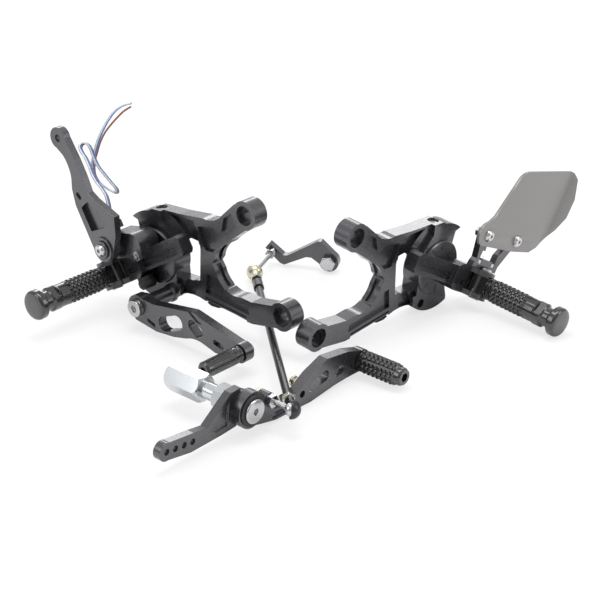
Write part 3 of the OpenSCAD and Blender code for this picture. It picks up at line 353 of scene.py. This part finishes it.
def stud_rows(name, node, matrix, **sizes):
    piece = bpy.data.objects.new(name, bpy.data.meshes.new(name))
    bpy.context.scene.collection.objects.link(piece)
    grow = piece.modifiers.new("grow", "NODES")
    grow.node_group = STUDS
    sizes["Material"] = MATERIALS[SLOT_OF[node]]
    for socket in STUDS.interface.items_tree:
        if socket.in_out == "INPUT" and socket.name in sizes:
            grow[socket.identifier] = sizes[socket.name]
    graph = bpy.context.evaluated_depsgraph_get()
    mesh = bpy.data.meshes.new_from_object(piece.evaluated_get(graph))
    piece.modifiers.clear()
    in_metres = matrix.copy()
    in_metres.translation = matrix.translation * MM
    mesh.transform(in_metres)
    if matrix.determinant() < 0:
        mesh.flip_normals()
    mesh.name = name
    mesh.shade_smooth()
    piece.data = mesh
    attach(piece, body_of(node))


PEG_X = -36
PEG_FIRST_ROW = 28 + 10 + 0.8 + 7.5 + 2.3
PEG_AROUND = 14
TOE_AT = (132, -9.2, -4 + 4 + 2.2)
TOE_AROUND = 13


def half_step(around):
    return Matrix.Rotation(math.radians(180 / around), 4, "Z")


for name, node, side in (("brake_peg_studs", "brake_footpeg", BRAKE),
                         ("shift_peg_studs", "shift_footpeg", SHIFT)):
    on_grip = side @ BAR @ Matrix.Translation((PEG_X, 0, PEG_FIRST_ROW)) @ half_step(PEG_AROUND)
    stud_rows(name, node, on_grip, Radius=0.00985, Rows=7, Pitch=0.0046, Around=PEG_AROUND, Stud=0.0014)
stud_rows("shift_toe_studs", "shift_toe_peg", LEVER @ Matrix.Translation(TOE_AT) @ half_step(TOE_AROUND),
          Radius=0.00885, Rows=7, Pitch=0.0044, Around=TOE_AROUND, Stud=0.0013)


# Heel guard: a sheet bent smoothly along its rear edge, laid out flat first and then bent

GUARD_Z = 26.0
GUARD_T = 2.5
GUARD_SCREWS = ((-18, 42.5), (-64, 46.5))
GUARD_SCREW_R = 2.5
GUARD_FLAT = [(-12.5, 32.2), (-62, 36), (-90, 40.5), (-99, 47), (-107, 60), (-112, 68), (-117.4, 82),
              (-117.6, 100), (-112.5, 117.5), (-107, 121.5), (-103.5, 122), (-37, 106.2), (-33, 104),
              (-29, 99.5), (-20, 72), (-16, 60), (-11.5, 54.5)]
EAR_AT = (-14, 43)
EAR_R = 11
BEND_X = -99.0
BEND_R = 12.0
BEND_ANGLE = math.radians(34)
BEND_CUTS = 8
CROSS_CUTS = (52, 68, 86, 104)


def screw_holes():
    """Two plain cylinders where the guard screws pass."""
    shape = bmesh.new()
    for x, y in GUARD_SCREWS:
        bmesh.ops.create_cone(shape, cap_ends=True, segments=32, radius1=GUARD_SCREW_R,
                              radius2=GUARD_SCREW_R, depth=20, matrix=Matrix.Translation((x, y, GUARD_Z)))
    mesh = bpy.data.meshes.new("screw_holes")
    shape.to_mesh(mesh)
    shape.free()
    cutter = bpy.data.objects.new("screw_holes", mesh)
    bpy.context.scene.collection.objects.link(cutter)
    return cutter


def guard_piece():
    shape = bmesh.new()
    rim = [Vector((x, y, 0)) for x, y in GUARD_FLAT]
    ear = [Vector((EAR_AT[0] + EAR_R * math.cos(a), EAR_AT[1] + EAR_R * math.sin(a), 0))
           for a in (math.radians(degrees) for degrees in range(58, -81, -12))]
    face = shape.faces.new([shape.verts.new(v) for v in rim + ear])
    face.normal_update()
    if face.normal.z < 0:
        face.normal_flip()
    arc_end = BEND_R * BEND_ANGLE
    cuts = [((BEND_X - i * arc_end / BEND_CUTS, 0, 0), (1, 0, 0)) for i in range(BEND_CUTS + 1)]
    cuts += [((0, y, 0), (0, 1, 0)) for y in CROSS_CUTS]
    for place, normal in cuts:
        bmesh.ops.bisect_plane(shape, geom=shape.verts[:] + shape.edges[:] + shape.faces[:],
                               plane_co=place, plane_no=normal)
    for vert in shape.verts:
        along = BEND_X - vert.co.x
        if along > 0:
            angle = min(along, arc_end) / BEND_R
            straight = max(0.0, along - arc_end)
            vert.co.x = BEND_X - BEND_R * math.sin(angle) - straight * math.cos(BEND_ANGLE)
            vert.co.z = BEND_R * (1 - math.cos(angle)) + straight * math.sin(BEND_ANGLE)
    mesh = bpy.data.meshes.new("heel_guard_shown")
    shape.to_mesh(mesh)
    shape.free()
    mesh.transform(Matrix.Translation((0, 0, GUARD_Z)))
    piece = bpy.data.objects.new("heel_guard_shown", mesh)
    bpy.context.scene.collection.objects.link(piece)
    wall = piece.modifiers.new("wall", "SOLIDIFY")
    wall.thickness = GUARD_T
    wall.offset = 1.0
    cutter = screw_holes()
    holes = piece.modifiers.new("holes", "BOOLEAN")
    holes.object = cutter
    soft = piece.modifiers.new("round", "BEVEL")
    soft.width = 0.7
    soft.segments = 3
    soft.limit_method = "ANGLE"
    soft.angle_limit = math.radians(50)
    mesh.shade_smooth()
    graph = bpy.context.evaluated_depsgraph_get()
    final = bpy.data.meshes.new_from_object(piece.evaluated_get(graph))
    piece.modifiers.clear()
    bpy.data.objects.remove(cutter)
    to_kit = SHIFT @ BAR
    final.transform(to_kit)
    if to_kit.determinant() < 0:
        final.flip_normals()
    final.transform(Matrix.Scale(MM, 4))
    final.set_sharp_from_angle(angle=math.radians(40))
    final.materials.clear()
    final.materials.append(MATERIALS["guard"])
    final.name = "heel_guard_shown"
    piece.data = final
    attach(piece, body_of("heel_guard"))
    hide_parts("heel_guard")


guard_piece()


# Switch wires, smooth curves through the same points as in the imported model

WIRE_POINTS = {
    "wire_blue": [
        (-161.9, 81.1, 81.6), (-163.4, 82.5, 85), (-163, 82, 89.6), (-164.1, 83.5, 96.3),
        (-165.8, 85, 102.2), (-169.3, 86.5, 107.6), (-173.5, 88.5, 112.7), (-177, 90.5, 118.8),
        (-179.4, 92.5, 125.8), (-182.6, 95, 132.1), (-186.2, 97.5, 137.1), (-187.6, 100, 140.7),
        (-185.5, 103, 142.9), (-182, 106, 140.9), (-179.7, 108, 136), (-177.8, 108.5, 128.9),
        (-174.4, 108.5, 120.2), (-169.2, 108.5, 112.4), (-164, 109, 104.8), (-159.9, 110.8, 98.5),
        (-159.9, 113.8, 94), (-164, 116.8, 93), (-170.6, 118.3, 96.5), (-175.9, 118.5, 101.5),
        (-179.5, 118.5, 109.5), (-179.7, 118.5, 119.3), (-177.3, 118.5, 128.9), (-174.2, 118.5, 138.6),
        (-170.4, 118.5, 147.2), (-165.2, 118.5, 156.8), (-158.6, 118.5, 165.8), (-151.7, 118.5, 170.9),
        (-144.1, 118.5, 173.2)],
    "wire_brown": [
        (-160.2, 83.1, 81.6), (-161.7, 84.4, 85), (-162.5, 86.4, 87), (-163.6, 87.9, 93.8),
        (-165.3, 89.4, 99.6), (-168.8, 90.9, 105), (-173, 92.9, 110.2), (-176.5, 94.9, 116.3),
        (-178.9, 96.9, 123.3), (-182.1, 99.4, 129.7), (-185.7, 101.9, 134.7), (-187.1, 104.4, 138.3),
        (-185, 107.4, 140.5), (-181.5, 110.4, 138.5), (-179.2, 112.4, 133.5), (-177.3, 112.9, 126.5),
        (-173.9, 112.9, 117.7), (-168.6, 112.9, 109.9), (-163.4, 113.4, 102.3), (-159.3, 115.2, 96),
        (-159.3, 118.2, 91.4), (-163.4, 121.2, 90.4), (-170, 122.7, 94), (-175.4, 122.9, 99),
        (-179, 122.9, 107), (-178.9, 122.9, 117.6), (-176.3, 122.9, 126.9), (-172.9, 122.9, 137),
        (-168.5, 122.9, 145.4), (-163.1, 122.9, 152.5), (-157.2, 122.9, 159.1), (-151.4, 122.9, 164.7),
        (-145.2, 122.9, 168.7)],
    "wire_white": [
        (-163.7, 79.2, 81.6), (-165.1, 80.5, 85), (-163.8, 78.6, 91.2), (-164.9, 80.1, 98),
        (-166.6, 81.6, 103.8), (-170, 83.1, 109.2), (-174.3, 85.1, 114.3), (-177.7, 87.1, 120.4),
        (-180.2, 89.1, 127.3), (-183.3, 91.6, 133.6), (-186.9, 94.1, 138.6), (-188.3, 96.6, 142.2),
        (-186.2, 99.6, 144.4), (-182.8, 102.6, 142.4), (-180.4, 104.6, 137.5), (-178.5, 105.1, 130.5),
        (-175.2, 105.1, 121.8), (-170, 105.1, 114), (-164.8, 105.6, 106.4), (-160.7, 107.4, 100.1),
        (-160.7, 110.4, 95.6), (-164.8, 113.4, 94.6), (-171.3, 114.9, 98.1), (-176.7, 115.1, 103.1),
        (-180.3, 115.1, 111.1), (-180.5, 115.1, 120.8), (-178.1, 115.1, 130.5), (-175, 115.1, 140.1),
        (-171.2, 115.1, 148.7), (-166, 115.1, 158.2), (-159.4, 115.1, 167.2), (-152.5, 115.1, 172.3),
        (-144.9, 115.1, 174.6)],
}
WIRE_D = 1.8


def smooth_path(points, steps=5):
    path = []
    last = len(points) - 1
    for i in range(last):
        p0, p1, p2, p3 = (points[max(0, min(last, i + k))] for k in (-1, 0, 1, 2))
        for s in range(steps):
            t = s / steps
            path.append(0.5 * ((2 * p1) + (p2 - p0) * t + (2 * p0 - 5 * p1 + 4 * p2 - p3) * t * t
                               + (3 * p1 - p0 - 3 * p2 + p3) * t ** 3))
    path.append(points[-1])
    return path


def tube_mesh(name, path, radius, sides=10):
    shape = bmesh.new()
    rings = []
    side = None
    for i, point in enumerate(path):
        ahead = path[min(i + 1, len(path) - 1)] - path[max(i - 1, 0)]
        ahead.normalize()
        if side is None:
            side = ahead.orthogonal().normalized()
        side = (side - ahead * side.dot(ahead)).normalized()
        up = ahead.cross(side)
        ring = []
        for k in range(sides):
            a = 2 * math.pi * k / sides
            ring.append(shape.verts.new(point + radius * (math.cos(a) * side + math.sin(a) * up)))
        rings.append(ring)
    for a, b in zip(rings, rings[1:]):
        for k in range(sides):
            shape.faces.new((a[k], a[(k + 1) % sides], b[(k + 1) % sides], b[k]))
    shape.faces.new(list(reversed(rings[0])))
    shape.faces.new(rings[-1])
    mesh = bpy.data.meshes.new(name)
    shape.to_mesh(mesh)
    shape.free()
    mesh.shade_smooth()
    mesh.set_sharp_from_angle(angle=math.radians(50))
    return mesh


def wire(node):
    points = [(Vector(p) + KIT) * MM for p in WIRE_POINTS[node]]
    path = smooth_path(points)
    mesh = tube_mesh(node + "_shown", path, WIRE_D / 2 * MM)
    mesh.materials.append(MATERIALS[SLOT_OF[node]])
    piece = bpy.data.objects.new(node + "_shown", mesh)
    bpy.context.scene.collection.objects.link(piece)
    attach(piece, body_of(node))
    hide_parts(node)


for name in WIRE_POINTS:
    wire(name)


# Studio: pale floor with faint shadows, sky brighter overhead and behind, soft lights, camera as in the photo

FLOOR_HALF = 6
FLOOR_Z = -0.0003
GLOW_SHARE = 0.7
SKY_LOW = 0.38
SKY_HIGH = 0.85
CAMERA_AT = (0, -1270, 638)
CAMERA_PITCH = 25.11
CAMERA_LENS = 102

floor_mesh = bpy.data.meshes.new("floor")
floor_corners = [(x * FLOOR_HALF, y * FLOOR_HALF, FLOOR_Z) for x, y in ((-1, -1), (1, -1), (1, 1), (-1, 1))]
floor_mesh.from_pydata(floor_corners, [], [(0, 1, 2, 3)])
floor = bpy.data.objects.new("floor", floor_mesh)
bpy.context.scene.collection.objects.link(floor)
pale = bpy.data.materials.new("pale_floor")
pale.use_nodes = True
pale_nodes = pale.node_tree.nodes
pale_links = pale.node_tree.links
pale_shader = pale_nodes["Principled BSDF"]
glow = pale_nodes.new("ShaderNodeEmission")
glow.inputs["Color"].default_value = (1, 1, 1, 1)
glow.inputs["Strength"].default_value = 1.0
ray = pale_nodes.new("ShaderNodeLightPath")
share = pale_nodes.new("ShaderNodeMath")
share.operation = "MULTIPLY"
share.inputs[1].default_value = GLOW_SHARE
pale_links.new(ray.outputs["Is Camera Ray"], share.inputs[0])
blend = pale_nodes.new("ShaderNodeMixShader")
pale_links.new(share.outputs["Value"], blend.inputs["Fac"])
pale_links.new(pale_shader.outputs["BSDF"], blend.inputs[1])
pale_links.new(glow.outputs["Emission"], blend.inputs[2])
pale_links.new(blend.outputs["Shader"], pale_nodes["Material Output"].inputs["Surface"])
pale_shader.inputs["Base Color"].default_value = (0.9, 0.9, 0.9, 1)
pale_shader.inputs["Roughness"].default_value = 0.6
pale_shader.inputs["Specular IOR Level"].default_value = 0.2
floor_mesh.materials.append(pale)

world = bpy.data.worlds.new("studio")
world.use_nodes = True
sky = world.node_tree.nodes
sky_links = world.node_tree.links
sky["Background"].inputs["Color"].default_value = (1, 1, 1, 1)
look = sky.new("ShaderNodeTexCoord")
lift = sky.new("ShaderNodeVectorMath")
lift.operation = "DOT_PRODUCT"
lift.inputs[1].default_value = (0.0, 0.45, 0.9)
sky_links.new(look.outputs["Generated"], lift.inputs[0])
fade = sky.new("ShaderNodeMapRange")
fade.interpolation_type = "SMOOTHSTEP"
fade.inputs["From Min"].default_value = -0.5
fade.inputs["From Max"].default_value = 0.95
fade.inputs["To Min"].default_value = SKY_LOW
fade.inputs["To Max"].default_value = SKY_HIGH
sky_links.new(lift.outputs["Value"], fade.inputs["Value"])
seen = sky.new("ShaderNodeLightPath")
white = sky.new("ShaderNodeMath")
white.operation = "MAXIMUM"
sky_links.new(fade.outputs["Result"], white.inputs[0])
sky_links.new(seen.outputs["Is Camera Ray"], white.inputs[1])
sky_links.new(white.outputs["Value"], sky["Background"].inputs["Strength"])
bpy.context.scene.world = world


def soft_light(name, place, target, size, power):
    data = bpy.data.lights.new(name, "AREA")
    data.shape = "RECTANGLE"
    data.size = size[0]
    data.size_y = size[1]
    data.energy = power
    lamp = bpy.data.objects.new(name, data)
    lamp.location = place
    lamp.rotation_euler = (Vector(target) - Vector(place)).to_track_quat("-Z", "Y").to_euler()
    bpy.context.scene.collection.objects.link(lamp)
    lamp.visible_camera = False


soft_light("top", (0.0, 0.1, 1.4), (0, 0, 0), (1.0, 0.5), 9)
soft_light("back", (-0.2, 1.9, 1.0), (0, 0, 0.05), (1.7, 0.45), 11)
soft_light("left", (-1.3, -0.6, 0.9), (0, 0, 0.05), (0.7, 0.9), 5)
soft_light("right", (1.4, -0.3, 0.8), (0, 0, 0.05), (0.6, 0.9), 5)

camera_data = bpy.data.cameras.new("camera")
camera_data.lens = CAMERA_LENS
camera_data.sensor_width = 36
camera_data.clip_start = 0.05
camera = bpy.data.objects.new("camera", camera_data)
camera.location = (Vector(CAMERA_AT) + KIT) * MM
camera.rotation_euler = (math.radians(90 - CAMERA_PITCH), 0, 0)
bpy.context.scene.collection.objects.link(camera)

bpy.context.scene.camera = camera
bpy.context.scene.view_settings.view_transform = "Standard"
